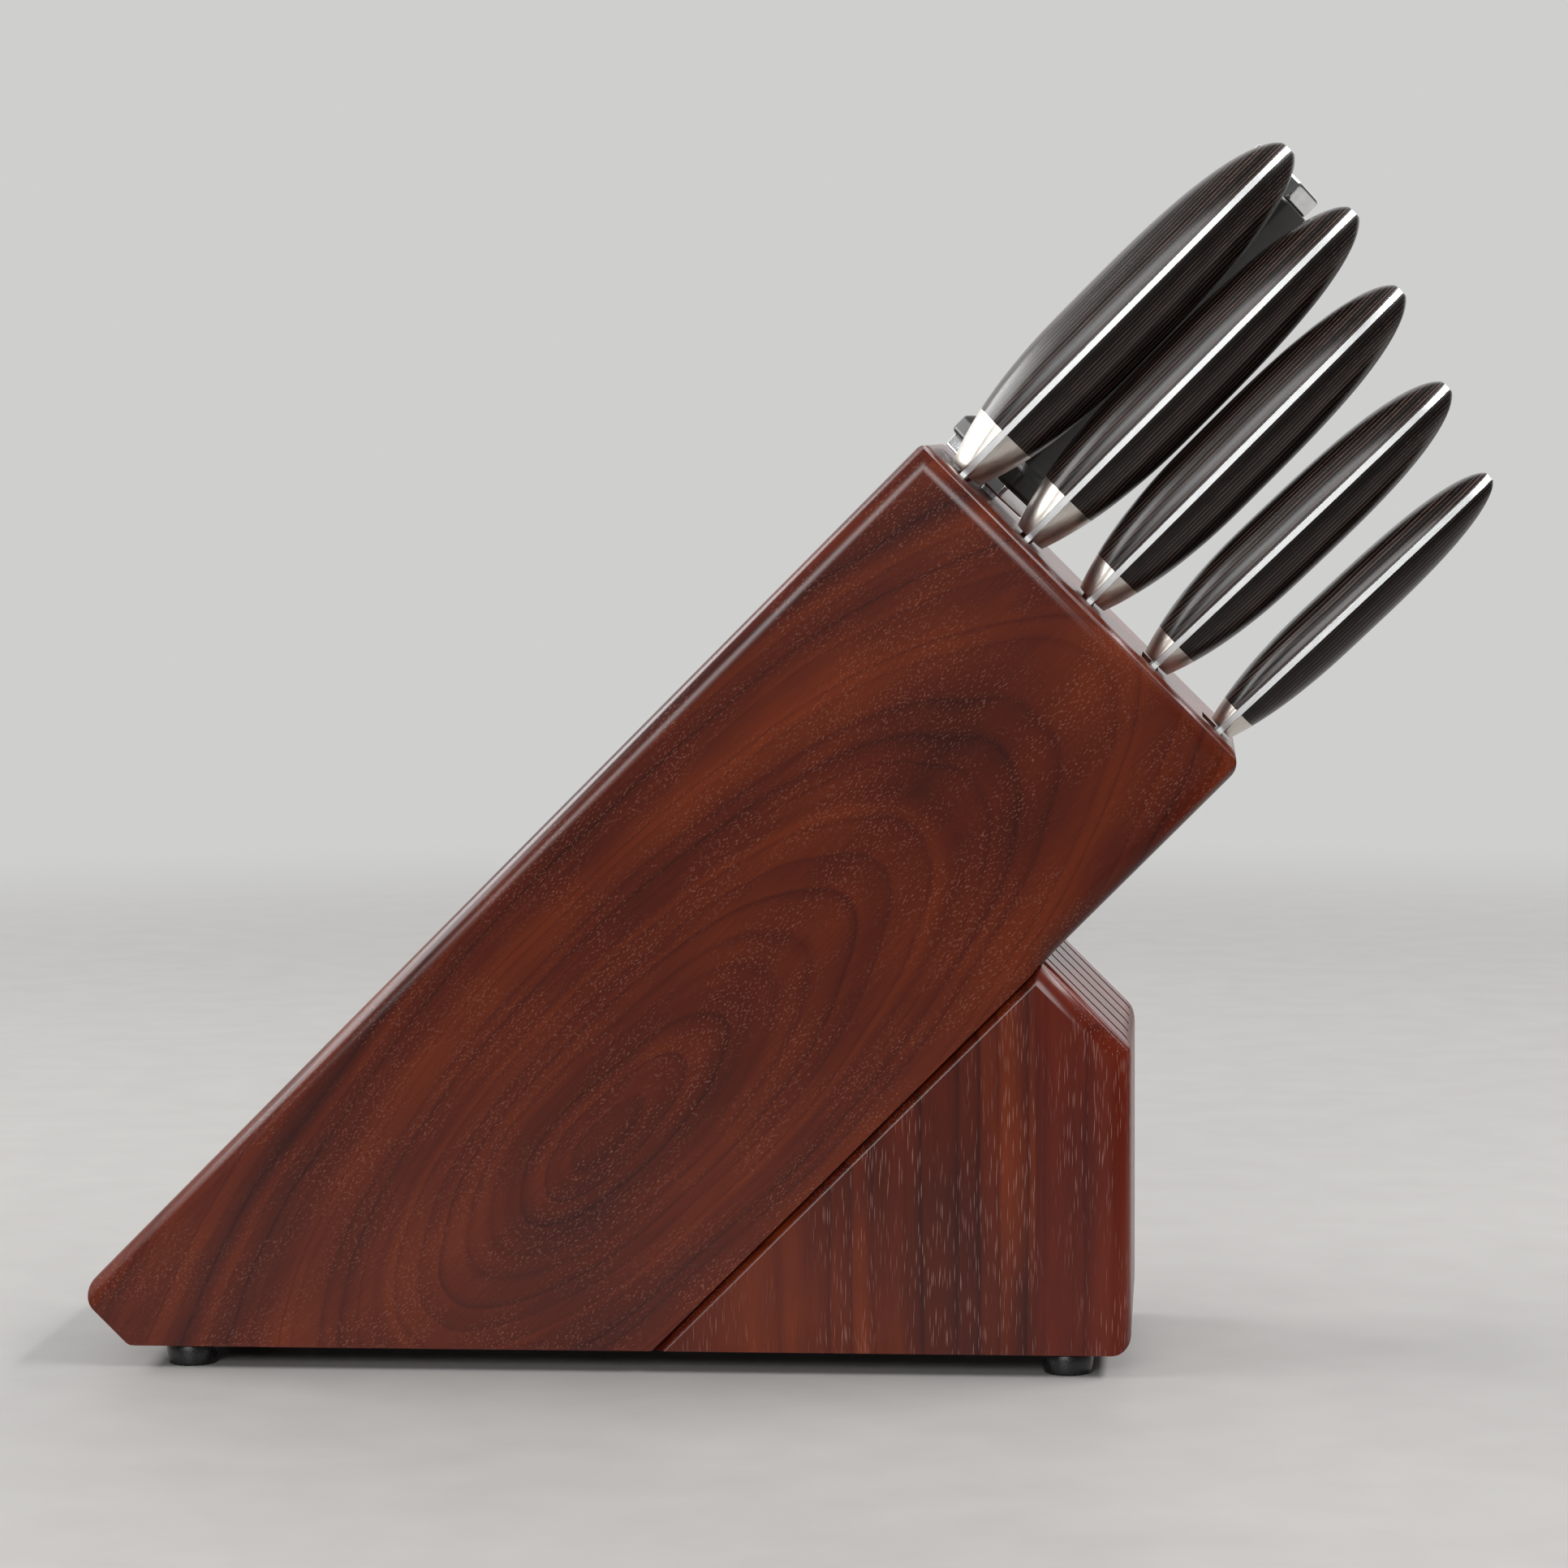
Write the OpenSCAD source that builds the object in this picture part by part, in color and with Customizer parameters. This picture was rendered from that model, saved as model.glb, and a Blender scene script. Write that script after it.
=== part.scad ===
// Slanted knife block of laminated boards, with its front stand, five knives and a sharpening steel.
// Millimetres, +Z up. The floor is Z = 0, and Y = 0 is the middle of the block's width.

/* [Block] */
// Length of the block, from its toe end to the slotted face
block_l = 324; // [300:1:400]
// Width of the block across its sides
block_w = 100; // [83:1:120]
// Thickness of the block, square to its long faces
block_t = 120; // [112:1:150]
// Angle of the block above level
block_tilt = 45; // [42:1:48]
// How much of the toe end is left above the flat underside
toe_t = 19.6; // [14:0.2:30]
// Thickness of each side board
cheek_t = 12; // [10:0.5:14]
// Radius routed along the edges of the side boards
edge_r = 6; // [3:0.5:8]
// Radius of the long corner over the toe
nose_r = 6; // [3:0.5:10]
// Radius of the corner at the top of the slotted face
crown_r = 3; // [2:0.5:6]
// Radius of the corner at the bottom of the slotted face
brow_r = 6; // [3:0.5:8]
// Radius of the small corner under the toe
toe_r = 3; // [1:0.5:4]
// Radius of the guide wheel of the router, which sets the run-out under the overhang
router_r = 9; // [6:1:12]

/* [Slots] */
// Distance of the first slot from the top long face
slot_first = 13.6; // [12:0.1:15]
// Distance from one slot to the next
slot_pitch = 23.5; // [22:0.1:28]
// Width of the three upper slots
slot_gap = 4; // [3.8:0.1:5]
// Width of the fourth slot, in which the knife leans
wide_gap = 6; // [5.6:0.1:7]
// Width of the fifth slot, in which the knife leans
last_gap = 7.4; // [7.2:0.1:8]
// Width of the strip between the near side board and a slot
slot_rim = 3; // [2:0.5:5]
// Play between a blade and each end of its slot
slot_play = 1.5; // [0.6:0.1:3]
// Gap between a blade's tip and the end of its slot
tip_gap = 0.6; // [0.4:0.1:2]

/* [Stand] */
// How far the stand's slanted face lies behind the slotted face
step_back = 75; // [60:1:90]
// How far the stand's front lies behind the block's foremost corner
stand_setback = 30; // [24:0.5:40]
// Width of the front board of the stand, as seen from the side
front_board_w = 25.3; // [20:0.5:32]
// Radius routed along the stand's side edges
stand_edge_r = 6; // [3:0.5:8]
// Radius between the stand's slanted face and its front
stand_blend_r = 9; // [8.5:0.5:14]
// Radius of the stand's lower front corner
stand_heel_r = 5; // [3:0.5:8]
// Chamfer along the joint between the stand and the block
joint_chamfer = 2.6; // [1:0.1:4]
// Thickness of the stand's two outer boards
stand_side_t = 13.5; // [12:0.5:15]
// Width of each small slot
steak_gap = 3; // [2.5:0.1:4]
// Height of each small slot down the slanted face
steak_mouth = 31; // [26:0.5:34]
// Depth of each small slot
steak_depth = 100; // [80:1:104]
// Distance of the front dowels behind the stand's slanted face
dowel_back = 40; // [25:1:60]
// Distance from the front dowels to the rear ones
dowel_pitch = 55; // [30:1:70]
// Diameter of the dowels that hold the stand
dowel_d = 8; // [6:0.5:10]
// Depth of the dowels in the block
dowel_in = 6; // [4:0.5:8]
// Length of the dowels in the stand
dowel_out = 14; // [10:1:20]

/* [Feet] */
// Diameter of each rubber foot at its top
foot_d = 14.5; // [12:0.5:16]
// Diameter of each rubber foot at the floor
foot_tip_d = 13; // [10:0.5:14]
// Height of each rubber foot
foot_h = 6; // [4:0.5:10]
// Distance of the feet from the sides
foot_side = 9; // [8:0.5:9.5]
// Distance of the toe feet from the nose
foot_toe = 27; // [22:0.5:34]
// Distance of the front feet from the stand's front
foot_front = 17; // [13:0.5:18]
// Diameter of the foot screws
screw_d = 3.5; // [3:0.1:4]
// Diameter of the heads of the foot screws
screw_head_d = 7; // [6:0.1:8]
// Thickness of the heads of the foot screws
screw_head_t = 2; // [1.5:0.1:2.5]
// How far the screw heads sit up inside the feet
screw_recess = 1.5; // [1:0.1:2]
// Length of the foot screws in the wood
screw_l = 12; // [8:1:14]

/* [Handles] */
// Thickness of the tangs
tang_t = 1.9; // [1.8:0.1:3]
// Thickness of each handle where it meets its blade
neck_t = 3.8; // [3.4:0.1:4.4]
// Place of a handle's thickest point, as a part of its length
swell = 0.43; // [0.38:0.01:0.5]
// Gap between the handles and the slotted face
stand_off = 1; // [0.6:0.1:2]
// Length that each blade reaches into its bolster
heel_in = 2; // [1:0.5:3]
// Fullness of the handle section, where 2 is an ellipse
section_power = 2.3; // [2:0.1:3]
// How far the flanks run ahead of the spine at a handle's base, as a part of its length
flank_lead = 0.045; // [0:0.005:0.06]
// Where the flanks and the spine run together again, as a part of the length
flank_end = 0.25; // [0.15:0.01:0.4]

/* [Blades] */
// Thickness of a blade at its spine
spine_t = 1.8; // [1.6:0.1:2.4]
// Thickness of a blade at its edge
edge_t = 0.3; // [0.2:0.1:0.5]

/* [Bread knife] */
// Handle length
bread_l = 122; // [100:0.5:150]
// Handle thickness
bread_t = 24.8; // [18:0.1:26]
// Handle height
bread_h = 28; // [24:0.5:30]
// Bolster length
bread_bolster = 15.2; // [8:0.1:20]
// Blade length
bread_blade = 205; // [160:1:240]
// Blade width
bread_w = 28.5; // [24:0.5:29]
// Lean in the slot
bread_lean = 0; // [0:0.05:0.1]
// Shift in the slot
bread_shift = -0.2; // [-0.4:0.1:0.4]

/* [Chef's knife] */
// Handle length
chef_l = 122.3; // [100:0.5:150]
// Handle thickness
chef_t = 23; // [18:0.1:24]
// Handle height
chef_h = 28; // [24:0.5:30]
// Bolster length
chef_bolster = 14.6; // [8:0.1:20]
// Blade length
chef_blade = 200; // [160:1:230]
// Blade width
chef_w = 45; // [38:0.5:48]
// Lean in the slot
chef_lean = 0; // [0:0.05:0.1]
// Shift in the slot
chef_shift = 0.5; // [-0.4:0.1:0.5]

/* [Carving knife] */
// Handle length
carving_l = 116.3; // [95:0.5:140]
// Handle thickness
carving_t = 22.6; // [17:0.1:23]
// Handle height
carving_h = 26; // [22:0.5:28]
// Bolster length
carving_bolster = 9.8; // [6:0.1:18]
// Blade length
carving_blade = 160; // [130:1:200]
// Blade width
carving_w = 30; // [24:0.5:40]
// Lean in the slot
carving_lean = 0; // [0:0.05:0.1]
// Shift in the slot
carving_shift = 0.5; // [-0.4:0.1:0.5]

/* [Utility knife] */
// Handle length
utility_l = 107; // [85:0.5:130]
// Handle thickness
utility_t = 20.9; // [16:0.1:22]
// Handle height
utility_h = 24; // [20:0.5:26]
// Bolster length
utility_bolster = 7.6; // [5:0.1:15]
// Blade length
utility_blade = 120; // [90:1:130]
// Blade width
utility_w = 25; // [20:0.5:32]
// Lean in the slot
utility_lean = 1.35; // [1.2:0.05:1.35]
// Shift in the slot
utility_shift = 1.3; // [1.1:0.1:1.4]

/* [Paring knife] */
// Handle length
paring_l = 98; // [80:0.5:120]
// Handle thickness
paring_t = 16.4; // [14:0.1:18]
// Handle height
paring_h = 21; // [18:0.5:24]
// Bolster length
paring_bolster = 6.5; // [4:0.1:12]
// Blade length
paring_blade = 90; // [70:1:100]
// Blade width
paring_w = 20; // [18:0.5:26]
// Lean in the slot
paring_lean = 1.65; // [1.2:0.05:1.65]
// Shift in the slot
paring_shift = 2.3; // [2:0.1:2.3]

/* [Sharpening steel] */
// Distance of the steel's axis from the near side of the block
steel_y = 62; // [60:0.5:68]
// How far the steel's axis lies past the first slot
steel_shift = 3.8; // [0:0.1:6]
// Diameter of the rod
rod_d = 11; // [9:0.5:12]
// Length of the rod below the handle
rod_l = 205; // [160:1:240]
// Clearance round the rod in its hole
rod_clear = 0.7; // [0.4:0.1:1]
// Diameter of the rod's tail in the handle
tail_d = 7; // [6:0.5:8]
// Length of the rod's tail in the handle
tail_l = 70; // [40:1:90]
// Width of the ferrule across its flats
ferrule_w = 29; // [26:0.5:32]
// Length of the ferrule
ferrule_l = 4; // [3:0.5:8]
// Gap between the ferrule and the slotted face
ferrule_gap = 1.6; // [1:0.1:4]
// Width of the grip's guard across its flats
guard_w = 32; // [28:0.5:34]
// Length of the guard's straight part
guard_l = 5.5; // [3:0.5:8]
// Length of the slope between the guard and the grip
guard_slope = 3.5; // [2:0.5:6]
// Width of the grip across its flats
grip_w = 26; // [25:0.5:30]
// Width of the guard's top, inside the grip
guard_top = 24; // [20:0.5:24]
// Length of the grip and its guard
grip_l = 108; // [90:1:130]
// Width of the cap across its flats
cap_w = 23; // [20:0.5:26]
// Length of the cap
cap_l = 6; // [4:0.5:10]

/* [Hidden] */
$fn = 48;
// How far a cutter passes a face, and a length longer than the whole object
cut = 1;
far = 1000;

// Block outline in the block's own frame: X along the block, Z square to its long faces
sole_c = block_t - toe_t;
flat_c = sole_c * cos(block_tilt);
sin_t = sin(block_tilt);
cos_t = cos(block_tilt);
block_z = foot_h - flat_c;
sole_x = flat_c / sin_t;

// World X of a block-frame point, measured from the block-frame origin
function bx(x, z) = x * cos_t - z * sin_t;
function bz(x, z) = block_z + x * sin_t + z * cos_t;

// Slots, counted from the top long face
gaps = [slot_gap, slot_gap, slot_gap, wide_gap, last_gap];
function slot_z(i) = block_t - slot_first - slot_pitch * i;
slot_near = cheek_t + slot_rim;

// Knives: handle length, thickness, height, bolster, blade length, width, lean, shift
knives = [
    [bread_l, bread_t, bread_h, bread_bolster, bread_blade, bread_w, bread_lean, bread_shift],
    [chef_l, chef_t, chef_h, chef_bolster, chef_blade, chef_w, chef_lean, chef_shift],
    [carving_l, carving_t, carving_h, carving_bolster, carving_blade, carving_w, carving_lean,
        carving_shift],
    [utility_l, utility_t, utility_h, utility_bolster, utility_blade, utility_w, utility_lean,
        utility_shift],
    [paring_l, paring_t, paring_h, paring_bolster, paring_blade, paring_w, paring_lean,
        paring_shift]
];
neck_share = 0.72;
butt_power = 3.1;
function neck_half(k) = knives[k][2] * neck_share / 2;
function knife_y(k) = slot_near + slot_play + neck_half(k);
function slot_far(k) = slot_near + 2 * slot_play + knives[k][5];
function stop_x(k) = block_l + stand_off - knives[k][4] - tip_gap;

// The model is centred between the nose and the last handle's butt
nose_x = bx(0, block_t) + nose_r * (sin_t + cos_t - 1);
butt_x = bx(block_l + stand_off + paring_l, slot_z(4) - paring_shift - paring_l * sin(paring_lean));
block_x = -(nose_x + butt_x) / 2;

// Stand outline in world X and Z
front_x = block_x + bx(block_l, 0) - stand_setback;
seam_x = front_x - front_board_w;
slant_x = block_l - step_back;
heel_x = block_x + bx(sole_x, 0);
top_x = block_x + bx(slant_x, 0);
top_z = bz(slant_x, 0);
slant_run = (front_x - top_x) / sin_t;
brow_z = top_z - slant_run * cos_t;
steak_pitch = (block_w - 2 * stand_side_t - steak_gap) / 4;
function steak_y(i) = stand_side_t + steak_gap / 2 + steak_pitch * i;

// Distance from a corner to where an arc leaves its sides, which turn by that angle
function tangent_len(r, turn) = r * tan(turn / 2);

// Dowels between the block and the stand, in the boards between the small slots
dowel_x = [slant_x - dowel_back, slant_x - dowel_back - dowel_pitch];
function dowel_y(i) = (steak_y(1 + i) + steak_y(2 + i)) / 2;

// World X of the toe feet and of the front feet
foot_toe_x = nose_x + block_x + foot_toe;
foot_front_x = front_x - foot_front;

// ---- helpers ----

// Outline in X and Z, carried from y0 to y1
module slab(points, y0, y1) {
    translate([0, y1, 0])
        rotate([90, 0, 0])
            linear_extrude(y1 - y0)
                polygon(points);
}

// Puts a block-frame shape in its place in the world, with Y still counted from the near side
module block_frame() {
    translate([block_x, 0, block_z])
        rotate([0, -block_tilt, 0])
            children();
}

// Moves the middle of the width to Y = 0
module centred() {
    translate([0, -block_w / 2, 0])
        children();
}

// Cutter that rounds an edge along +X, of a solid that lies below Z = 0 and beyond Y = 0
module edge_cutter(length, r) {
    difference() {
        translate([0, -cut, -r])
            cube([length, r + cut, r + cut]);
        translate([-cut, r, -r])
            rotate([0, 90, 0])
                cylinder(r = r, h = length + 2 * cut);
    }
}

// Square bar less a round one, for a square corner that points to -X and +Y
module corner_bar(r) {
    translate([0, 0, -block_w - cut])
        difference() {
            translate([-cut, -r, 0])
                cube([r + cut, r + cut, block_w + 2 * cut]);
            translate([r, -r, -cut])
                cylinder(r = r, h = block_w + 4 * cut);
        }
}

// ---- block ----

// Whole block outline, right through the width, with its four rounded corners
module block_prism(y0, y1) {
    difference() {
        slab([[0, sole_c], [0, block_t], [block_l, block_t], [block_l, 0], [sole_x, 0]], y0, y1);
        translate([0, 0, block_t])
            rotate([90, 0, 0])
                corner_bar(nose_r);
        translate([block_l, 0, block_t])
            rotate([90, 0, 0])
                rotate([0, 0, -90])
                    corner_bar(crown_r);
        translate([block_l, 0, 0])
            rotate([90, 0, 0])
                rotate([0, 0, 180])
                    corner_bar(brow_r);
        toe_cutter();
    }
}

// Cutter of the blunt corner between the toe end and the flat underside
module toe_cutter() {
    reach = tangent_len(toe_r, 90 - block_tilt);
    difference() {
        slab([[toe_r, sole_c + reach], [-cut, sole_c + reach], [-cut, sole_c - reach - cut],
            [reach * cos_t - cut * sin_t, sole_c - reach * sin_t - cut * cos_t],
            [reach * cos_t, sole_c - reach * sin_t]], -cut, block_w + cut);
        translate([toe_r, block_w + 2 * cut, sole_c + reach])
            rotate([90, 0, 0])
                cylinder(r = toe_r, h = block_w + 4 * cut);
    }
}

// Rounded edges of a side board whose outer face is at Y = 0
module cheek_cutters() {
    run_end = slant_x + router_r / 2;
    translate([-cut, 0, block_t])
        edge_cutter(block_l + 2 * cut, edge_r);
    translate([block_l, 0, block_t + cut])
        rotate([0, 90, 0])
            edge_cutter(block_t + 2 * cut, edge_r);
    mirror([0, 0, 1])
        translate([run_end, 0, 0])
            edge_cutter(block_l + cut - run_end, edge_r);
    // Round run-out that the router leaves where it stops
    translate([run_end, 0, -router_r])
        rotate([-90, 0, 0])
            rotate_extrude()
                difference() {
                    translate([0, -cut])
                        square([router_r + edge_r, edge_r + cut]);
                    translate([router_r + edge_r, edge_r])
                        circle(r = edge_r);
                }
}

module cheek() {
    difference() {
        block_prism(0, cheek_t);
        cheek_cutters();
        rotate([0, block_tilt, 0])
            translate([-block_x, 0, -block_z])
                foot_bore(foot_toe_x);
    }
}

module mirrored_width() {
    translate([0, block_w, 0])
        mirror([0, 1, 0])
            children();
}

// Pilot hole of a foot's screw
module foot_bore(x) {
    translate([x, foot_side, foot_h - cut])
        cylinder(d = screw_d, h = screw_l + cut);
}

module near_cheek() {
    color("#5a1f12")
        centred()
            block_frame()
                cheek();
}

module far_cheek() {
    color("#5a1f12")
        centred()
            block_frame()
                mirrored_width()
                    cheek();
}

// Hole of the sharpening steel, open at the slotted face
module steel_hole() {
    translate([block_l + ferrule_gap - rod_l - tip_gap, steel_y, slot_z(0) - steel_shift])
        rotate([0, 90, 0])
            cylinder(d = rod_d + 2 * rod_clear, h = rod_l + cut + ferrule_gap);
}

// Faces of core board i, counted from the top: its upper and lower Z
function board_top(i) = i == 0 ? block_t : slot_z(i - 1) - gaps[i - 1] / 2;
function board_low(i) = i == 5 ? 0 : slot_z(i) + gaps[i] / 2;

// The part of the block between two heights and two widths
module core_piece(x0, x1, y0, y1, z0, z1) {
    intersection() {
        block_prism(cheek_t, block_w - cheek_t);
        translate([x0, y0, z0])
            cube([x1 - x0, y1 - y0, z1 - z0]);
    }
}

module core_board(i) {
    color("#6b2a18")
        centred()
            block_frame()
                difference() {
                    core_piece(-cut, block_l + cut, cheek_t, block_w - cheek_t,
                        i == 5 ? -cut : board_low(i), i == 0 ? block_t + cut : board_top(i));
                    if (i < 2)
                        steel_hole();
                    if (i == 5)
                        dowel_set();
                }
}

module near_strips() {
    color("#7a3420")
        centred()
            block_frame()
                for (i = [0:4])
                    core_piece(-cut, block_l + cut, cheek_t, slot_near, board_top(i + 1),
                        board_low(i));
}

module far_strips() {
    color("#7a3420")
        centred()
            block_frame()
                difference() {
                    for (i = [0:4])
                        core_piece(-cut, block_l + cut, slot_far(i), block_w - cheek_t,
                            board_top(i + 1), board_low(i));
                    steel_hole();
                }
}

module slot_stops() {
    color("#7a3420")
        centred()
            block_frame()
                for (i = [0:4])
                    core_piece(-cut, stop_x(i), slot_near, slot_far(i), board_top(i + 1),
                        board_low(i));
}

// ---- stand ----

module dowel_set() {
    for (x = dowel_x)
        for (i = [0:1])
            translate([x, dowel_y(i), -dowel_out])
                cylinder(d = dowel_d, h = dowel_out + dowel_in);
}

module dowels() {
    color("#c59a63")
        centred()
            block_frame()
                dowel_set();
}

// Stand outline right through a width, with its blended brow and rounded heel
module stand_prism(y0, y1) {
    reach = tangent_len(stand_blend_r, block_tilt);
    difference() {
        slab([[heel_x, foot_h], [front_x, foot_h], [front_x, brow_z], [top_x, top_z]], y0, y1);
        translate([front_x, 0, foot_h])
            rotate([90, 0, 0])
                rotate([0, 0, 180])
                    corner_bar(stand_heel_r);
        difference() {
            slab([[front_x - reach * sin_t, brow_z + reach * cos_t],
                [front_x + cut, brow_z + reach * cos_t], [front_x + cut, brow_z - reach],
                [front_x, brow_z - reach], [front_x - stand_blend_r, brow_z - reach]],
                y0 - cut, y1 + cut);
            translate([front_x - stand_blend_r, y1 + 2 * cut, brow_z - reach])
                rotate([90, 0, 0])
                    cylinder(r = stand_blend_r, h = y1 - y0 + 4 * cut);
        }
    }
}

// Rounded edges of a stand board whose outer face is at Y = 0; they meet in a mitre at the brow
module stand_cutters() {
    translate([top_x - cut * sin_t, 0, top_z + cut * cos_t])
        rotate([0, 90 - block_tilt, 0])
            edge_cutter(slant_run + stand_edge_r, stand_edge_r);
    translate([front_x, 0, brow_z + stand_edge_r])
        rotate([0, 90, 0])
            edge_cutter(brow_z + stand_edge_r - foot_h + cut, stand_edge_r);
    // Chamfer along the joint
    block_frame()
        rotate([90, 0, 90])
            linear_extrude(slant_x + cut)
                polygon([[-cut, cut], [joint_chamfer + cut, cut], [joint_chamfer, 0],
                    [0, -joint_chamfer], [-cut, -joint_chamfer]]);
}

module stand_slice(x0, x1, y0, y1) {
    intersection() {
        stand_prism(y0, y1);
        translate([x0, y0, foot_h - cut])
            cube([x1 - x0, y1 - y0, top_z]);
    }
}

module stand_side(x0, x1) {
    difference() {
        stand_slice(x0, x1, 0, stand_side_t);
        stand_cutters();
        foot_bore(foot_front_x);
    }
}

module stand_rear_near() {
    color("#4d1a10")
        centred()
            stand_side(heel_x - cut, seam_x);
}

module stand_front_near() {
    color("#7c3018")
        centred()
            stand_side(seam_x, front_x + cut);
}

module stand_rear_far() {
    color("#4d1a10")
        centred()
            mirrored_width()
                stand_side(heel_x - cut, seam_x);
}

module stand_front_far() {
    color("#7c3018")
        centred()
            mirrored_width()
                stand_side(seam_x, front_x + cut);
}

module stand_board(i) {
    color("#6b2a18")
        centred()
            difference() {
                stand_prism(steak_y(i) + steak_gap / 2, steak_y(i + 1) - steak_gap / 2);
                block_frame()
                    dowel_set();
            }
}

// Fillers between the boards, behind and below the small slots
module stand_rear_fillers() {
    end_x = slant_x - steak_depth;
    color("#7a3420")
        centred()
            for (i = [0:4])
                intersection() {
                    stand_prism(steak_y(i) - steak_gap / 2, steak_y(i) + steak_gap / 2);
                    block_frame()
                        translate([sole_x - far, 0, -far])
                            cube([end_x - sole_x + far, block_w, far + cut]);
                }
}

module stand_front_fillers() {
    end_x = slant_x - steak_depth;
    color("#7a3420")
        centred()
            for (i = [0:4])
                intersection() {
                    stand_prism(steak_y(i) - steak_gap / 2, steak_y(i) + steak_gap / 2);
                    block_frame()
                        translate([end_x, 0, -far])
                            cube([far, block_w, far - steak_mouth]);
                }
}

// ---- feet ----

module foot(x) {
    color("#141414")
        centred()
            translate([x, foot_side, 0])
                difference() {
                    cylinder(d1 = foot_tip_d, d2 = foot_d, h = foot_h);
                    translate([0, 0, -cut])
                        cylinder(d = screw_d, h = foot_h + 2 * cut);
                    translate([0, 0, -cut])
                        cylinder(d = screw_head_d, h = screw_recess + screw_head_t + cut);
                }
}

module far_side() {
    mirror([0, 1, 0])
        children();
}

module foot_toe_near() {
    foot(foot_toe_x);
}

module foot_toe_far() {
    far_side()
        foot(foot_toe_x);
}

module foot_front_near() {
    foot(foot_front_x);
}

module foot_front_far() {
    far_side()
        foot(foot_front_x);
}

module foot_screw(x) {
    translate([x, foot_side, screw_recess]) {
        cylinder(d = screw_head_d, h = screw_head_t);
        cylinder(d = screw_d, h = foot_h - screw_recess + screw_l);
    }
}

module foot_screws() {
    color("#b8b8bc")
        for (side = [0, 1])
            mirror([0, side, 0])
                centred() {
                    foot_screw(foot_toe_x);
                    foot_screw(foot_front_x);
                }
}

// ---- knives ----
// A knife's own frame: X along the handle from its base, Y across the blade, Z through the tang.

// Half thickness at t, the part of the length from the base: a cubic flare, then a blunt ogive
function half_t(k, t) = t < swell
    ? neck_t / 2 + (knives[k][1] - neck_t) / 2 * (1 - pow(1 - t / swell, 3))
    : knives[k][1] / 2 * sqrt(max(0, 1 - pow((t - swell) / (1 - swell), butt_power)));

// Half height at t
function half_h(k, t) = t < swell
    ? neck_half(k) + (knives[k][2] / 2 - neck_half(k)) * (1 - pow(1 - t / swell, 2))
    : knives[k][2] / 2 * sqrt(max(0, 1 - pow((t - swell) / (1 - swell), 4)));

// Where the section |z/a|^p + |y/b|^p = 1 reaches the face of the tang
function tang_share(k, t) = pow(1 - pow(tang_t / 2 / half_t(k, t), section_power), 1 / section_power);
function tang_half(k, t) = half_h(k, t) * tang_share(k, t);

handle_end = 0.994;
rings = 18;
sides = 20;
bolster_rings = 6;

// Stations between two parts of the length, closer together towards the butt
crowding = 1.6;
function stations(t0, t1, n) = [for (i = [0:n]) t0 + (t1 - t0) * (1 - pow(1 - i / n, crowding))];

// One half section, from the tang face over the back of the scale and down to the tang face again
function half_ring(k, t) = [
    for (j = [0:sides])
        let (y = cos(180 * j / sides) * tang_half(k, t))
        let (lead = flank_lead * sin(180 * j / sides) * max(0, 1 - t / flank_end))
        let (z = half_t(k, t + lead) * pow(max(0, 1 - pow(abs(y) / half_h(k, t), section_power)),
            1 / section_power))
        [t * knives[k][0], y, max(tang_t / 2, z)]
];

// Solid half handle between two parts of the length
module half_handle(k, t0, t1, n) {
    ts = stations(t0, t1, n);
    m = sides + 1;
    points = [for (t = ts) each half_ring(k, t)];
    ends = [[for (j = [0:sides]) j], [for (j = [sides:-1:0]) n * m + j]];
    walls = [for (i = [0:n - 1]) for (j = [0:sides])
        let (a = i * m + j, b = i * m + (j + 1) % m) each [[a, a + m, b + m], [a, b + m, b]]];
    polyhedron(points = points, faces = concat(ends, walls));
}

// Blade outline: nearly straight spine that drops to the tip, and a curved edge
tip_drop = 0.3;
function drop(t) = tip_drop * pow(t, 4);
function spine_y(k, t) = -neck_half(k) + knives[k][5] * drop(t);
function edge_y(k, t) = spine_y(k, t)
    + knives[k][5] * (1 - drop(t)) * pow(max(0, 1 - pow(t, 5)), 0.6);
blade_steps = 14;
heel_gap = 1.5;

module blade_tang(k) {
    length = knives[k][4];
    width = knives[k][5];
    neck = neck_half(k);
    ts = [for (i = [0:blade_steps]) 1 - pow(1 - i / blade_steps, 2)];
    heel = stand_off + heel_gap;
    outline = concat(
        [[heel_in, -neck]],
        [for (t = ts) [-heel - t * (length - heel), spine_y(k, t)]],
        [for (i = [blade_steps - 1:-1:0]) [-heel - ts[i] * (length - heel), edge_y(k, ts[i])]],
        [[-heel, neck], [heel_in, neck]]);
    tang_ts = stations(0, handle_end, rings);
    tang = concat(
        [for (t = tang_ts) [t * knives[k][0], tang_half(k, t)]],
        [for (i = [rings:-1:0]) [tang_ts[i] * knives[k][0], -tang_half(k, tang_ts[i])]]);
    intersection() {
        translate([0, 0, -tang_t / 2])
            linear_extrude(tang_t)
                polygon(outline);
        translate([-length - cut, -neck, 0])
            rotate([90, 0, 90])
                linear_extrude(length + heel_in + cut)
                    polygon([[0, -spine_t / 2], [width, -edge_t / 2], [width, edge_t / 2],
                        [0, spine_t / 2]]);
    }
    translate([0, 0, -tang_t / 2])
        linear_extrude(tang_t)
            polygon(tang);
}

// Puts a knife in its slot
module knife_place(k) {
    centred()
        block_frame()
            translate([block_l, knife_y(k), slot_z(k) - knives[k][7]])
                rotate([0, knives[k][6], 0])
                    translate([stand_off, 0, 0])
                        children();
}

module knife_blade(k) {
    color("#c9ccd0")
        knife_place(k)
            blade_tang(k);
}

module knife_bolster(k) {
    end = knives[k][3] / knives[k][0];
    color("#b4aea4")
        knife_place(k)
            for (side = [0, 1])
                mirror([0, 0, side])
                    half_handle(k, 0, end, bolster_rings);
}

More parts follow.
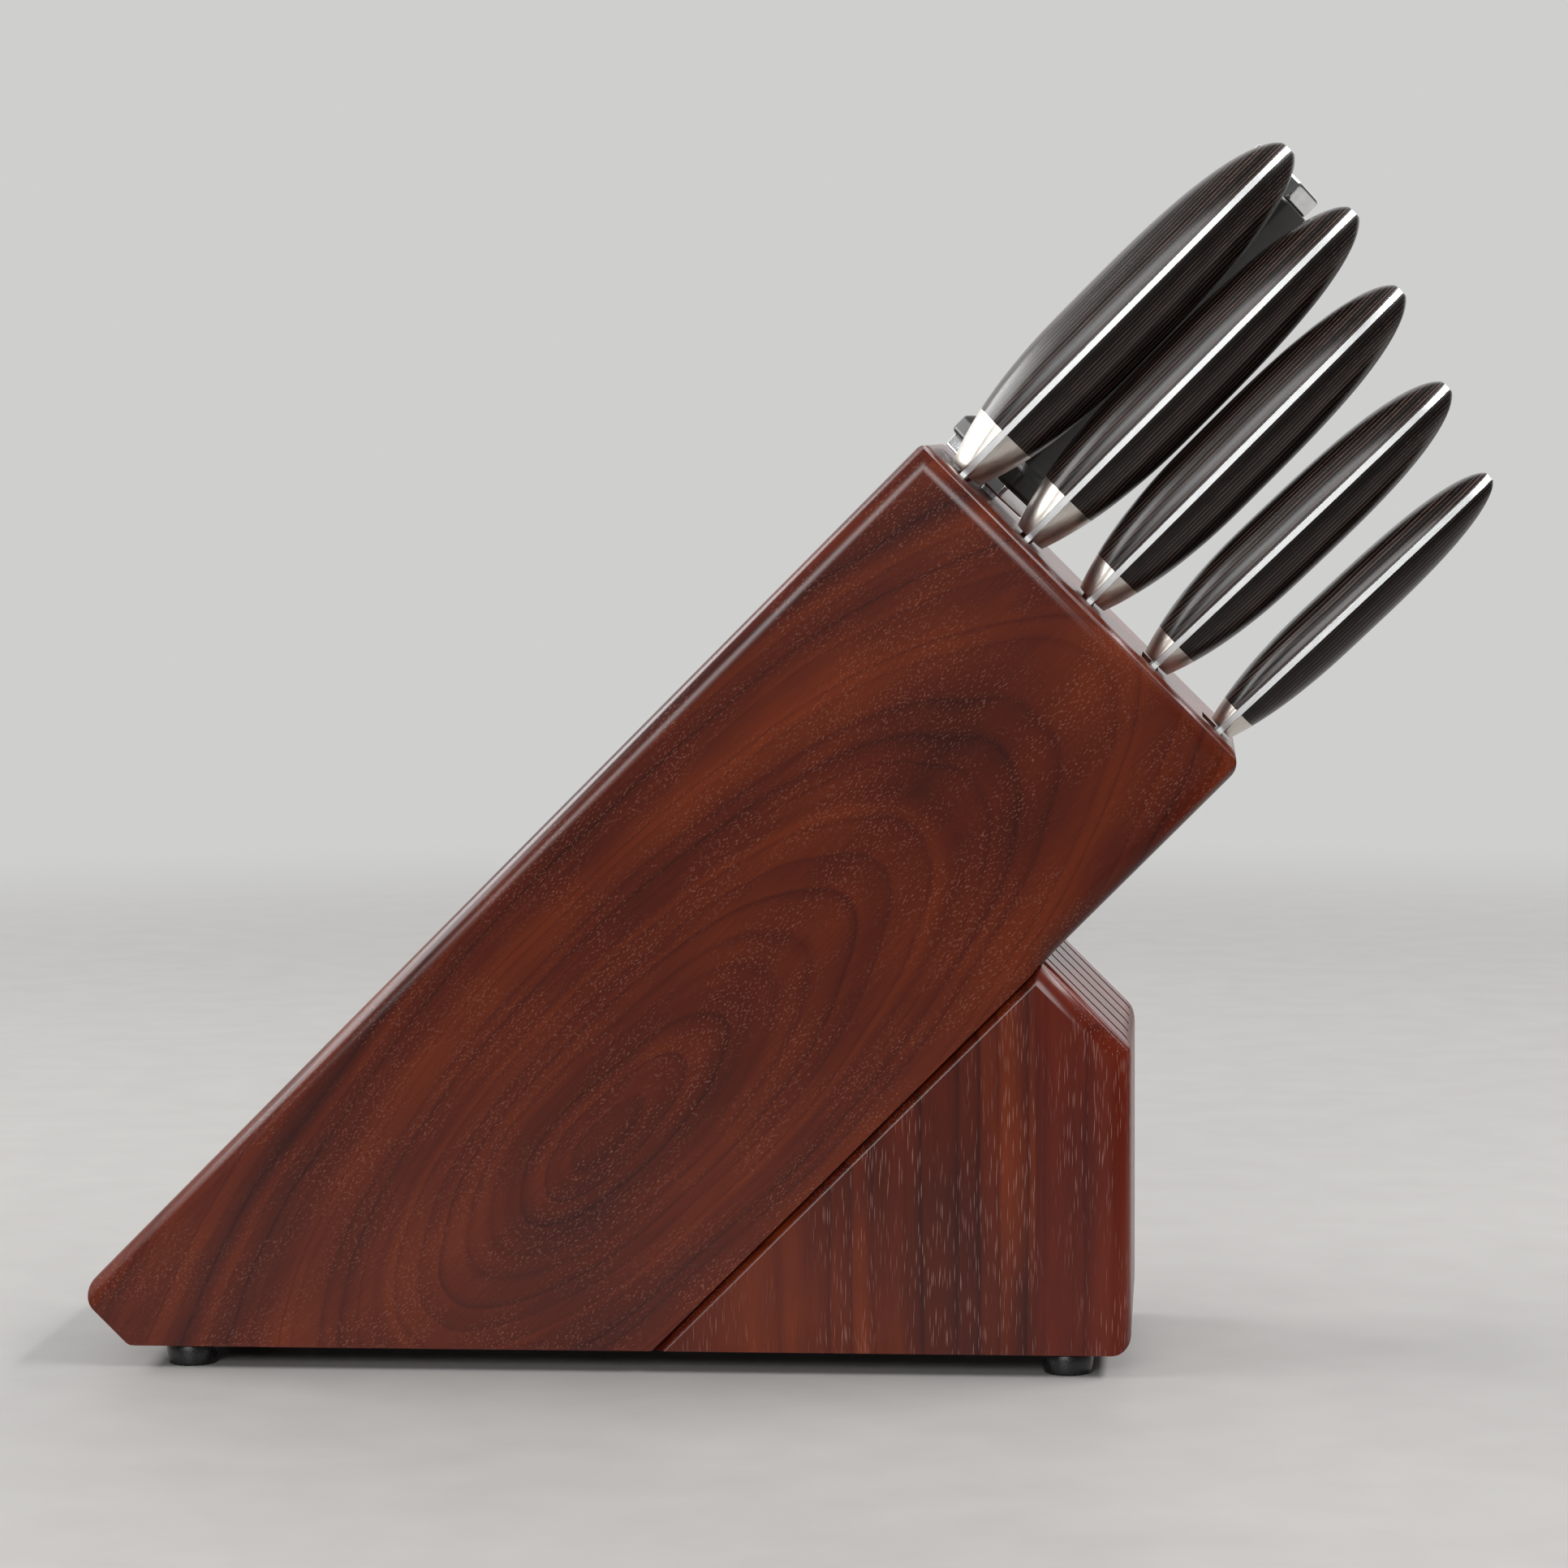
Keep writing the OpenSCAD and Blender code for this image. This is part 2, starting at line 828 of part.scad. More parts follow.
module knife_scale(k, side) {
    start = knives[k][3] / knives[k][0];
    color("#241b19")
        knife_place(k)
            mirror([0, 0, side])
                half_handle(k, start, handle_end, rings);
}

// ---- sharpening steel ----

module steel_place() {
    centred()
        block_frame()
            translate([block_l + ferrule_gap, steel_y, slot_z(0) - steel_shift])
                rotate([0, 90, 0])
                    children();
}

// Eight-sided bar along +Z, by its width across the flats
module eight_sided(w0, w1, h) {
    rotate([0, 0, 22.5])
        cylinder(d1 = w0 / cos(22.5), d2 = w1 / cos(22.5), h = h, $fn = 8);
}

module steel_rod() {
    color("#a7abb0")
        steel_place() {
            translate([0, 0, -rod_l + rod_d / 2])
                sphere(d = rod_d);
            translate([0, 0, -rod_l + rod_d / 2])
                cylinder(d = rod_d, h = rod_l - rod_d / 2);
            cylinder(d = tail_d, h = tail_l);
        }
}

module steel_ferrule() {
    color("#c4c6c8")
        steel_place()
            difference() {
                eight_sided(ferrule_w, ferrule_w, ferrule_l);
                translate([0, 0, -cut])
                    cylinder(d = tail_d, h = ferrule_l + 2 * cut);
            }
}

module steel_grip() {
    color("#2a2a29")
        steel_place()
            difference() {
                union() {
                    translate([0, 0, ferrule_l])
                        hull() {
                            eight_sided(guard_w, guard_w, guard_l);
                            eight_sided(guard_top, guard_top, guard_l + guard_slope);
                        }
                    translate([0, 0, ferrule_l + guard_l / 2])
                        eight_sided(grip_w, grip_w, grip_l - guard_l / 2);
                }
                cylinder(d = tail_d, h = tail_l);
            }
}

module steel_cap() {
    color("#d2d4d6")
        steel_place()
            translate([0, 0, ferrule_l + grip_l])
                eight_sided(cap_w, cap_w, cap_l);
}

near_cheek();
far_cheek();
core_board(0);  // core_board_1
core_board(1);  // core_board_2
core_board(2);  // core_board_3
core_board(3);  // core_board_4
core_board(4);  // core_board_5
core_board(5);  // core_board_6
near_strips();
far_strips();
slot_stops();
dowels();
stand_rear_near();
stand_front_near();
stand_rear_far();
stand_front_far();
stand_board(0);  // stand_board_1
stand_board(1);  // stand_board_2
stand_board(2);  // stand_board_3
stand_board(3);  // stand_board_4
stand_rear_fillers();
stand_front_fillers();
foot_toe_near();
foot_toe_far();
foot_front_near();
foot_front_far();
foot_screws();
knife_blade(0);  // bread_blade_tang
knife_bolster(0);  // bread_bolster_halves
knife_scale(0, 0);  // bread_scale_upper
knife_scale(0, 1);  // bread_scale_lower
knife_blade(1);  // chef_blade_tang
knife_bolster(1);  // chef_bolster_halves
knife_scale(1, 0);  // chef_scale_upper
knife_scale(1, 1);  // chef_scale_lower
knife_blade(2);  // carving_blade_tang
knife_bolster(2);  // carving_bolster_halves
knife_scale(2, 0);  // carving_scale_upper
knife_scale(2, 1);  // carving_scale_lower
knife_blade(3);  // utility_blade_tang
knife_bolster(3);  // utility_bolster_halves
knife_scale(3, 0);  // utility_scale_upper
knife_scale(3, 1);  // utility_scale_lower
knife_blade(4);  // paring_blade_tang
knife_bolster(4);  // paring_bolster_halves
knife_scale(4, 0);  // paring_scale_upper
knife_scale(4, 1);  // paring_scale_lower
steel_rod();
steel_ferrule();
steel_grip();
steel_cap();
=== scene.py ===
import math
import bmesh
import bpy
import numpy as np
from mathutils import Matrix, Vector


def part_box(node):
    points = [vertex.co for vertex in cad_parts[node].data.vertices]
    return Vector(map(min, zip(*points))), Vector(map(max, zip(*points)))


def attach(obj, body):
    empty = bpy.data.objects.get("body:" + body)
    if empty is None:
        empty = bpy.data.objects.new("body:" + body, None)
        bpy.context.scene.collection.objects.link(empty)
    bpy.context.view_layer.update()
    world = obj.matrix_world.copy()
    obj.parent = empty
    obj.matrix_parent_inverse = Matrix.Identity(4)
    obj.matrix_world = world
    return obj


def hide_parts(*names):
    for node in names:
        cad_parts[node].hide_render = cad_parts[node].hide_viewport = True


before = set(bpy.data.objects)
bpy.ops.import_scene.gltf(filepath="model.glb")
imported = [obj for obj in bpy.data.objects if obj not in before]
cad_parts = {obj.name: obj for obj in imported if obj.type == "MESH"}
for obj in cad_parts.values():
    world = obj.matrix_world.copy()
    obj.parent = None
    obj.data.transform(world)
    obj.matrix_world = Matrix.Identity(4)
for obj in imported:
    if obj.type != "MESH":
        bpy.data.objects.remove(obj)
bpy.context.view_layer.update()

mm = 0.001

camera = {
    "place": (0.10634, -1.350, 0.25293),     # metres
    "turnLeft": 4.615, "tiltDown": 4.146, "roll": -0.226,     # degrees
    "lens": 113.3, "sensor": 36.0,     # millimetres
}


def makeCamera(c):
    yaw, pitch, roll = (math.radians(c[k]) for k in ("turnLeft", "tiltDown", "roll"))
    ahead = Vector((-math.sin(yaw) * math.cos(pitch), math.cos(yaw) * math.cos(pitch), -math.sin(pitch)))
    right = Vector((math.cos(yaw), math.sin(yaw), 0))
    up = right.cross(ahead)
    right, up = right * math.cos(roll) + up * math.sin(roll), up * math.cos(roll) - right * math.sin(roll)
    data = bpy.data.cameras.new("camera")
    data.lens, data.sensor_width = c["lens"], c["sensor"]
    data.clip_start, data.clip_end = 0.05, 60
    obj = bpy.data.objects.new("camera", data)
    turn = Matrix((right, up, -ahead)).transposed().to_4x4()
    obj.matrix_world = Matrix.Translation(c["place"]) @ turn
    bpy.context.scene.collection.objects.link(obj)
    bpy.context.scene.camera = obj


makeCamera(camera)
print("camera made")


def linear(code):
    # sRGB hex to linear RGBA
    part = [int(code[i:i + 2], 16) / 255 for i in (1, 3, 5)]
    return [v / 12.92 if v <= 0.04045 else ((v + 0.055) / 1.055) ** 2.4 for v in part] + [1.0]


def addNode(tree, kind, links=None, stops=None, **settings):
    # one node with its settings; links gives a socket, or a plain value, for each input
    node = tree.nodes.new(kind)
    for key, value in settings.items():
        setattr(node, key, value)
    for key, value in (links or {}).items():
        if isinstance(value, bpy.types.NodeSocket):
            tree.links.new(value, node.inputs[key])
        else:
            node.inputs[key].default_value = value
    if stops:
        ramp = node.color_ramp
        while len(ramp.elements) < len(stops):
            ramp.elements.new(1.0)
        for element, (place, value) in zip(ramp.elements, stops):
            element.position = place
            element.color = linear(value) if isinstance(value, str) else (value, value, value, 1)
    return node


def newMaterial(name):
    material = bpy.data.materials.new(name)
    material.use_nodes = True
    material.node_tree.nodes.clear()
    return material, material.node_tree


def closeMaterial(tree, shader):
    addNode(tree, "ShaderNodeOutputMaterial", {"Surface": shader.outputs["BSDF"]})


def addMesh(name, points, faces, material, grain=None, sharp=35):
    # points (n, 3) in metres, faces as lists of indices; grain is the pattern's own coordinates
    mesh = bpy.data.meshes.new(name)
    mesh.from_pydata(points.tolist(), [], faces)
    mesh.polygons.foreach_set("use_smooth", np.ones(len(mesh.polygons), bool))
    if grain is not None:
        field = mesh.attributes.new("grain", "FLOAT_VECTOR", "POINT")
        field.data.foreach_set("vector", grain.astype(np.float32).ravel())
    mesh.update()
    mesh.validate()
    mesh.set_sharp_from_angle(angle=math.radians(sharp))
    mesh.materials.append(material)
    obj = bpy.data.objects.new(name, mesh)
    bpy.context.scene.collection.objects.link(obj)
    return obj


def loftFaces(rings, sides):
    # quads between closed rings of points, and one flat face at each end
    i, j = np.meshgrid(np.arange(rings - 1), np.arange(sides), indexing="ij")
    a, b = i * sides + j, i * sides + (j + 1) % sides
    quads = np.stack([a, b, b + sides, a + sides], -1).reshape(-1, 4).tolist()
    last = (rings - 1) * sides
    return quads + [list(range(sides - 1, -1, -1)), list(range(last, last + sides))]


def loft(name, rings, material, place, body, nodes, sharp=35):
    # rings (n, k, 3) in the piece's own millimetres; place is its matrix in the frame, in metres
    count, sides = rings.shape[:2]
    own = rings.reshape(-1, 3)
    at = np.array(place)
    world = own * mm @ at[:3, :3].T + at[:3, 3]
    obj = addMesh(name, world, loftFaces(count, sides), material, own, sharp)
    if signedVolume(world, rings.shape) < 0:
        obj.data.flip_normals()
    return hold(obj, body, nodes)


def signedVolume(world, shape):
    # sum of the tetrahedra between a middle point and the quads of the wall
    grid = world.reshape(shape) - world.mean(0)
    nxt = np.roll(grid, -1, 1)
    a, b, c, d = grid[:-1], nxt[:-1], nxt[1:], grid[1:]
    return float((np.cross(a, b) * c).sum() + (np.cross(a, c) * d).sum())


def hold(obj, body, nodes=()):
    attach(obj, body)
    if nodes:
        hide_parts(*nodes)
    return obj


tiltOfBlock = 45.0     # degrees
block = {"long": 324, "thick": 120}     # millimetres


def woodMaterial(name, w):
    # Walnut, stained red-brown and sprayed with satin lacquer: growth rings, fibre, filled pores and a
    # soft coat. Rings: level = length((p - centre) * stretch) - lean * along, in millimetres, cut into
    # years of ringWidth.
    material, tree = newMaterial(name)
    add = lambda kind, links=None, stops=None, **s: addNode(tree, kind, links, stops, **s)
    spot = add("ShaderNodeTexCoord").outputs["Object"]
    own = add("ShaderNodeMapping", {"Vector": spot, "Location": w["centre"],
              "Rotation": (0, math.radians(-w["grainAngle"]), 0), "Scale": (mm, mm, mm)},
              vector_type="TEXTURE").outputs["Vector"]
    # slow drift of the rings, longer along the grain than across it
    slow = add("ShaderNodeVectorMath", {0: own, 1: w["driftSize"]}, operation="MULTIPLY").outputs[0]
    drift = add("ShaderNodeTexNoise", {"Vector": slow, "Scale": 1.0, "Detail": 2.0,
                "Roughness": 0.5}).outputs["Color"]
    drift = add("ShaderNodeVectorMath", {0: drift, 1: (0.5, 0.5, 0.5)}, operation="SUBTRACT").outputs[0]
    drift = add("ShaderNodeVectorMath", {0: drift, 1: w["drift"], 2: own},
                operation="MULTIPLY_ADD").outputs[0]
    shape = add("ShaderNodeVectorMath", {0: drift, 1: w["stretch"]}, operation="MULTIPLY").outputs[0]
    reach = add("ShaderNodeVectorMath", {0: shape}, operation="LENGTH").outputs["Value"]
    along = add("ShaderNodeSeparateXYZ", {"Vector": drift}).outputs["X"]
    level = add("ShaderNodeMath", {0: along, 1: -w["lean"], 2: reach}, operation="MULTIPLY_ADD").outputs[0]
    rings = add("ShaderNodeMath", {0: level, 1: w["ringWidth"]}, operation="DIVIDE").outputs[0]
    # uneven years: the ring count itself wanders
    uneven = add("ShaderNodeTexNoise", {"W": rings, "Scale": 0.6, "Detail": 1.0},
                 noise_dimensions="1D").outputs["Fac"]
    count = add("ShaderNodeMath", {0: uneven, 1: 1.6, 2: rings}, operation="MULTIPLY_ADD").outputs[0]
    year = add("ShaderNodeMath", {0: count}, operation="FRACT").outputs[0]
    line = add("ShaderNodeValToRGB", {"Fac": year}, stops=[(0.0, 0.45), (0.10, 0.0), (0.55, 0.12),
               (0.82, 0.5), (0.93, 1.0), (1.0, 0.45)]).outputs["Color"]
    whole = add("ShaderNodeMath", {0: count}, operation="FLOOR").outputs[0]
    strength = add("ShaderNodeTexWhiteNoise", {"W": whole}, noise_dimensions="1D").outputs["Value"]
    strength = add("ShaderNodeMapRange", {"Value": strength, "To Min": w["lineRange"][0],
                   "To Max": w["lineRange"][1]}).outputs["Result"]
    line = add("ShaderNodeMath", {0: line, 1: strength}, operation="MULTIPLY").outputs[0]
    # broad bands of heart colour that follow the rings, and cloudy patches
    bands = add("ShaderNodeTexNoise", {"W": level, "Scale": 1 / w["bandWidth"], "Detail": 2.0},
                noise_dimensions="1D").outputs["Fac"]
    cloudy = add("ShaderNodeVectorMath", {0: own, 1: w["cloudSize"]}, operation="MULTIPLY").outputs[0]
    cloud = add("ShaderNodeTexNoise", {"Vector": cloudy, "Scale": 1.0, "Detail": 3.0}).outputs["Fac"]
    # fibre: 0.5 mm across and 15 mm along
    thin = add("ShaderNodeVectorMath", {0: own, 1: (0.07, 1.6, 1.6)}, operation="MULTIPLY").outputs[0]
    fibre = add("ShaderNodeTexNoise", {"Vector": thin, "Scale": 1.0, "Detail": 3.0,
                "Roughness": 0.6}).outputs["Fac"]
    tone = add("ShaderNodeMath", {0: bands, 1: w["bandShare"], 2: w["toneShift"]},
               operation="MULTIPLY_ADD").outputs[0]
    tone = add("ShaderNodeMath", {0: cloud, 1: w["cloudShare"], 2: tone},
               operation="MULTIPLY_ADD").outputs[0]
    tone = add("ShaderNodeMath", {0: line, 1: w["lineShare"], 2: tone},
               operation="MULTIPLY_ADD").outputs[0]
    tone = add("ShaderNodeMath", {0: fibre, 1: w["fibreShare"], 2: tone},
               operation="MULTIPLY_ADD").outputs[0]
    colour = add("ShaderNodeValToRGB", {"Fac": tone}, stops=w["colours"]).outputs["Color"]
    # pores: short dashes along the grain, filled by pale grain filler
    poreSpot = add("ShaderNodeVectorMath", {0: drift, 1: w["poreSize"]}, operation="MULTIPLY").outputs[0]
    pore = add("ShaderNodeTexVoronoi", {"Vector": poreSpot, "Scale": 1.0,
               "Randomness": 1.0}).outputs["Distance"]
    pore = add("ShaderNodeMapRange", {"Value": pore, "From Min": w["poreWidth"],
               "From Max": w["poreWidth"] * 0.5, "To Min": 0.0, "To Max": 1.0}).outputs["Result"]
    patchy = add("ShaderNodeVectorMath", {0: own, 1: w["patchSize"]}, operation="MULTIPLY").outputs[0]
    patch = add("ShaderNodeTexNoise", {"Vector": patchy, "Scale": 1.0, "Detail": 2.0}).outputs["Fac"]
    patch = add("ShaderNodeMapRange", {"Value": patch, "From Min": w["poreFrom"],
                "From Max": w["poreFrom"] + 0.16, "To Max": w["poreShare"]}).outputs["Result"]
    pore = add("ShaderNodeMath", {0: pore, 1: patch}, operation="MULTIPLY").outputs[0]
    colour = add("ShaderNodeMix", {"Factor": pore, 6: colour, 7: linear(w["poreColour"])},
                 data_type="RGBA").outputs[2]
    rough = add("ShaderNodeMapRange", {"Value": fibre, "From Min": 0.25, "From Max": 0.75,
                "To Min": w["gloss"] - 0.04, "To Max": w["gloss"] + 0.06}).outputs["Result"]
    height = add("ShaderNodeMath", {0: pore, 1: -0.8, 2: fibre}, operation="MULTIPLY_ADD").outputs[0]
    bump = add("ShaderNodeBump", {"Height": height, "Strength": 0.35,
               "Distance": w["relief"] * mm}).outputs["Normal"]
    shader = add("ShaderNodeBsdfPrincipled", {"Base Color": colour, "Roughness": rough, "IOR": 1.5,
                 "Normal": bump, "Specular IOR Level": 0.02, "Coat Weight": w["coat"],
                 "Coat Roughness": 0.24, "Coat IOR": 1.42})
    closeMaterial(tree, shader)
    return material


def boardFrame():
    # the block's own frame: along it, across its width, square to its long faces
    low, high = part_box("near_cheek")
    noseRadius, toe, footHigh = 6, 19.6, 6
    turn = math.cos(math.radians(tiltOfBlock))
    nose = -block["thick"] * turn + noseRadius * (2 * turn - 1)
    flat = (block["thick"] - toe) * turn
    at = Vector((low.x - nose * mm, low.y, (footHigh - flat) * mm))
    return Matrix.Translation(at) @ Matrix.Rotation(math.radians(-tiltOfBlock), 4, "Y")


blockFrame = boardFrame()


def inBlock(along, across, up):
    return tuple(blockFrame @ Vector((along * mm, across * mm, up * mm)))


# Flame figure of a flat-sawn board: the rings close into long ovals, nearer together towards the toe.
sideWood = {
    "centre": inBlock(130, 0, 49.5), "grainAngle": tiltOfBlock,
    "driftSize": (0.011, 0.02, 0.022), "drift": (22, 8, 7),
    "stretch": (1.0, 1.6, 2.9), "lean": 0.24, "ringWidth": 11.5,
    "lineRange": (0.25, 1.0), "bandWidth": 26.0, "bandShare": 0.75, "cloudSize": (0.012, 0.03, 0.035),
    "cloudShare": 0.66, "lineShare": 0.22, "fibreShare": 0.24, "toneShift": -0.28,
    "colours": [(0.14, "#752f0f"), (0.36, "#5a210c"), (0.6, "#451509"), (0.86, "#2d0b06")],
    "poreSize": (0.6, 3.0, 3.0), "poreWidth": 0.3, "patchSize": (0.03, 0.08, 0.09), "poreFrom": 0.4,
    "poreShare": 0.4, "poreColour": "#9c6a58", "gloss": 0.42, "coat": 0.6, "relief": 0.03,
}
farWood = dict(sideWood, centre=inBlock(205, 100, 62), lean=-0.1, ringWidth=12.5, stretch=(0.8, 1.6, 2.4))
coreWood = dict(sideWood, stretch=(0.02, 1.0, 1.0), lean=0.0, ringWidth=3.6, bandWidth=14.0,
                lineShare=0.3, driftSize=(0.006, 0.03, 0.03), drift=(0, 3, 3))

sideMaterial = woodMaterial("stained walnut, flat-sawn side board", sideWood)
farMaterial = woodMaterial("stained walnut, far side board", farWood)
print("wood made")


def keepNode(node, material):
    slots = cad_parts[node].data.materials
    slots.clear()
    slots.append(material)


def smoothCopy(name, node, material, body):
    # a welded copy of the node's mesh, with normals that lean on its large faces
    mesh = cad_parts[node].data.copy()
    mesh.name = name
    obj = bpy.data.objects.new(name, mesh)
    bpy.context.scene.collection.objects.link(obj)
    work = bmesh.new()
    work.from_mesh(mesh)
    bmesh.ops.remove_doubles(work, verts=work.verts, dist=0.002 * mm)
    bmesh.ops.dissolve_limit(work, angle_limit=math.radians(0.5), verts=work.verts, edges=work.edges)
    work.to_mesh(mesh)
    work.free()
    mesh.polygons.foreach_set("use_smooth", np.ones(len(mesh.polygons), bool))
    mesh.set_sharp_from_angle(angle=math.radians(32))
    mesh.materials.clear()
    mesh.materials.append(material)
    lean = obj.modifiers.new("lean", "WEIGHTED_NORMAL")
    lean.keep_sharp, lean.weight = True, 80
    return hold(obj, body, [node])


smoothCopy("side_board_near", "near_cheek", sideMaterial, "block")
smoothCopy("side_board_far", "far_cheek", farMaterial, "block")

coreNodes = ["core_board_%d" % i for i in range(1, 7)]
for number, node in enumerate(coreNodes):
    # each board is cut from another part of the log
    centre = inBlock(0, 20 + 17 * ((number * 2) % 5), 140 - 23.5 * number + 40 * ((-1) ** number))
    material = woodMaterial("stained walnut, core board %d" % (number + 1), dict(coreWood, centre=centre))
    keepNode(node, material)
stripMaterial = woodMaterial("stained walnut, spacer strips", dict(coreWood, centre=inBlock(0, -30, 60)))
for node in ("near_strips", "far_strips", "slot_stops"):
    keepNode(node, stripMaterial)

# Straight quarter-sawn grain: the rings run up the stand as stripes
standWood = dict(sideWood, grainAngle=90.0, stretch=(0.03, 1.0, 1.0), lean=0.0, ringWidth=5.5,
                 bandWidth=16.0, driftSize=(0.007, 0.03, 0.03), drift=(0, 6, 6),
                 poreSize=(0.1, 2.6, 2.6), poreWidth=0.29, patchSize=(0.02, 0.06, 0.06), poreFrom=0.38,
                 poreShare=0.42, poreColour="#a07a70")
rearWood = dict(standWood, centre=(-0.02, -0.09, 0.0), toneShift=-0.42, cloudShare=0.9, lineShare=0.3)
frontWood = dict(standWood, centre=(0.115, -0.1, 0.0), toneShift=-0.3, lineShare=0.3,
                 colours=[(0.1, "#74280e"), (0.4, "#591b0b"), (0.65, "#431109"), (0.9, "#2c0906")])
rearMaterial = woodMaterial("stained walnut, rear stand board", rearWood)
frontMaterial = woodMaterial("stained walnut, front stand board", frontWood)
for side in ("near", "far"):
    smoothCopy("stand_rear_board_" + side, "stand_rear_" + side, rearMaterial, "block")
    smoothCopy("stand_front_board_" + side, "stand_front_" + side, frontMaterial, "block")
innerWood = dict(standWood, centre=(0.05, 0.02, 0.0))
innerMaterial = woodMaterial("stained walnut, inner stand boards", innerWood)
for node in ("stand_board_1", "stand_board_2", "stand_board_3", "stand_board_4", "stand_rear_fillers",
             "stand_front_fillers"):
    keepNode(node, innerMaterial)
print("block made")


def metalMaterial(name, m):
    # ground steel: fine lines along one direction that spread the gloss, and a little tone between them
    material, tree = newMaterial(name)
    add = lambda kind, links=None, stops=None, **s: addNode(tree, kind, links, stops, **s)
    own = add("ShaderNodeAttribute", attribute_name="grain").outputs["Vector"]
    lined = add("ShaderNodeVectorMath", {0: own, 1: m["lines"]}, operation="MULTIPLY").outputs[0]
    brush = add("ShaderNodeTexNoise", {"Vector": lined, "Scale": 1.0, "Detail": 2.0,
                "Roughness": 0.5}).outputs["Fac"]
    broad = add("ShaderNodeTexNoise", {"Vector": own, "Scale": 0.08, "Detail": 2.0}).outputs["Fac"]
    colour = add("ShaderNodeValToRGB", {"Fac": brush}, stops=[(0.3, m["dark"]),
                 (0.7, m["light"])]).outputs["Color"]
    both = add("ShaderNodeMath", {0: brush, 1: 0.7, 2: broad}, operation="MULTIPLY_ADD").outputs[0]
    rough = add("ShaderNodeMapRange", {"Value": both, "From Min": 0.55, "From Max": 1.15,
                "To Min": m["rough"][0], "To Max": m["rough"][1]}).outputs["Result"]
    bump = add("ShaderNodeBump", {"Height": brush, "Strength": 0.3,
               "Distance": m["relief"] * mm}).outputs["Normal"]
    shader = add("ShaderNodeBsdfPrincipled", {"Base Color": colour, "Metallic": 1.0,
                 "Roughness": rough, "Normal": bump})
    closeMaterial(tree, shader)
    return material


bladeMetal = metalMaterial("ground stainless steel, blades and tangs", {
    "lines": (0.25, 0.25, 5.0), "dark": "#c9cbcc", "light": "#dedede", "rough": (0.42, 0.52),
    "relief": 0.01})
bolsterMetal = metalMaterial("satin stainless steel, bolsters", {
    "lines": (0.15, 2.0, 2.0), "dark": "#cdc7be", "light": "#ded9d2", "rough": (0.3, 0.36),
    "relief": 0.002})
rodMetal = metalMaterial("hardened chrome steel, sharpening rod", {
    "lines": (0.1, 2.0, 2.0), "dark": "#a3a6aa", "light": "#c2c5c8", "rough": (0.28, 0.42),
    "relief": 0.02})
polishedMetal = metalMaterial("polished stainless steel, ferrule and cap", {
    "lines": (0.4, 0.4, 0.4), "dark": "#d3d5d7", "light": "#e4e5e6", "rough": (0.08, 0.16),
    "relief": 0.004})


def laminateMaterial(name, c):
    # resin-bonded veneer: dark sheets under a millimetre thick that run the length of the handle,
    # waxed to a soft gloss
    material, tree = newMaterial(name)
    add = lambda kind, links=None, stops=None, **s: addNode(tree, kind, links, stops, **s)
    own = add("ShaderNodeAttribute", attribute_name="grain").outputs["Vector"]
    part = add("ShaderNodeSeparateXYZ", {"Vector": own})
    wander = add("ShaderNodeVectorMath", {0: own, 1: (0.02, 0.05, 0.2)}, operation="MULTIPLY").outputs[0]
    wander = add("ShaderNodeTexNoise", {"Vector": wander, "Scale": 1.0, "Detail": 2.0}).outputs["Fac"]
    sheet = add("ShaderNodeMath", {0: wander, 1: 1.2, 2: part.outputs["Z"]},
                operation="MULTIPLY_ADD").outputs[0]
    sheet = add("ShaderNodeMath", {0: sheet, 1: c["sheet"]}, operation="DIVIDE").outputs[0]
    turn = add("ShaderNodeMath", {0: sheet}, operation="FRACT").outputs[0]
    line = add("ShaderNodeValToRGB", {"Fac": turn}, stops=[(0.0, 1.0), (0.16, 0.25), (0.5, 0.0),
               (0.84, 0.25), (1.0, 1.0)]).outputs["Color"]
    each = add("ShaderNodeTexWhiteNoise", {"W": add("ShaderNodeMath", {0: sheet},
               operation="FLOOR").outputs[0]}, noise_dimensions="1D").outputs["Value"]
    thin = add("ShaderNodeVectorMath", {0: own, 1: (0.12, 2.4, 2.4)}, operation="MULTIPLY").outputs[0]
    fibre = add("ShaderNodeTexNoise", {"Vector": thin, "Scale": 1.0, "Detail": 3.0}).outputs["Fac"]
    tone = add("ShaderNodeMath", {0: line, 1: 0.5, 2: 0.0}, operation="MULTIPLY_ADD").outputs[0]
    tone = add("ShaderNodeMath", {0: each, 1: 0.3, 2: tone}, operation="MULTIPLY_ADD").outputs[0]
    tone = add("ShaderNodeMath", {0: fibre, 1: 0.4, 2: tone}, operation="MULTIPLY_ADD").outputs[0]
    colour = add("ShaderNodeValToRGB", {"Fac": tone}, stops=c["colours"]).outputs["Color"]
    rough = add("ShaderNodeMapRange", {"Value": tone, "To Min": c["rough"][0],
                "To Max": c["rough"][1]}).outputs["Result"]
    bump = add("ShaderNodeBump", {"Height": tone, "Strength": 0.3,
               "Distance": 0.05 * mm}).outputs["Normal"]
    shader = add("ShaderNodeBsdfPrincipled", {"Base Color": colour, "Roughness": rough, "IOR": 1.5,
                 "Normal": bump, "Specular IOR Level": 0.2, "Coat Weight": 0.3, "Coat Roughness": 0.22,
                 "Coat IOR": 1.4})
    closeMaterial(tree, shader)
    return material


scaleMaterial = laminateMaterial("dark resin-bonded veneer, handle scales", {
    "sheet": 0.85, "rough": (0.26, 0.42),
    "colours": [(0.25, "#070504"), (0.48, "#0f0a09"), (0.66, "#2a1e1a"), (0.9, "#655249")]})


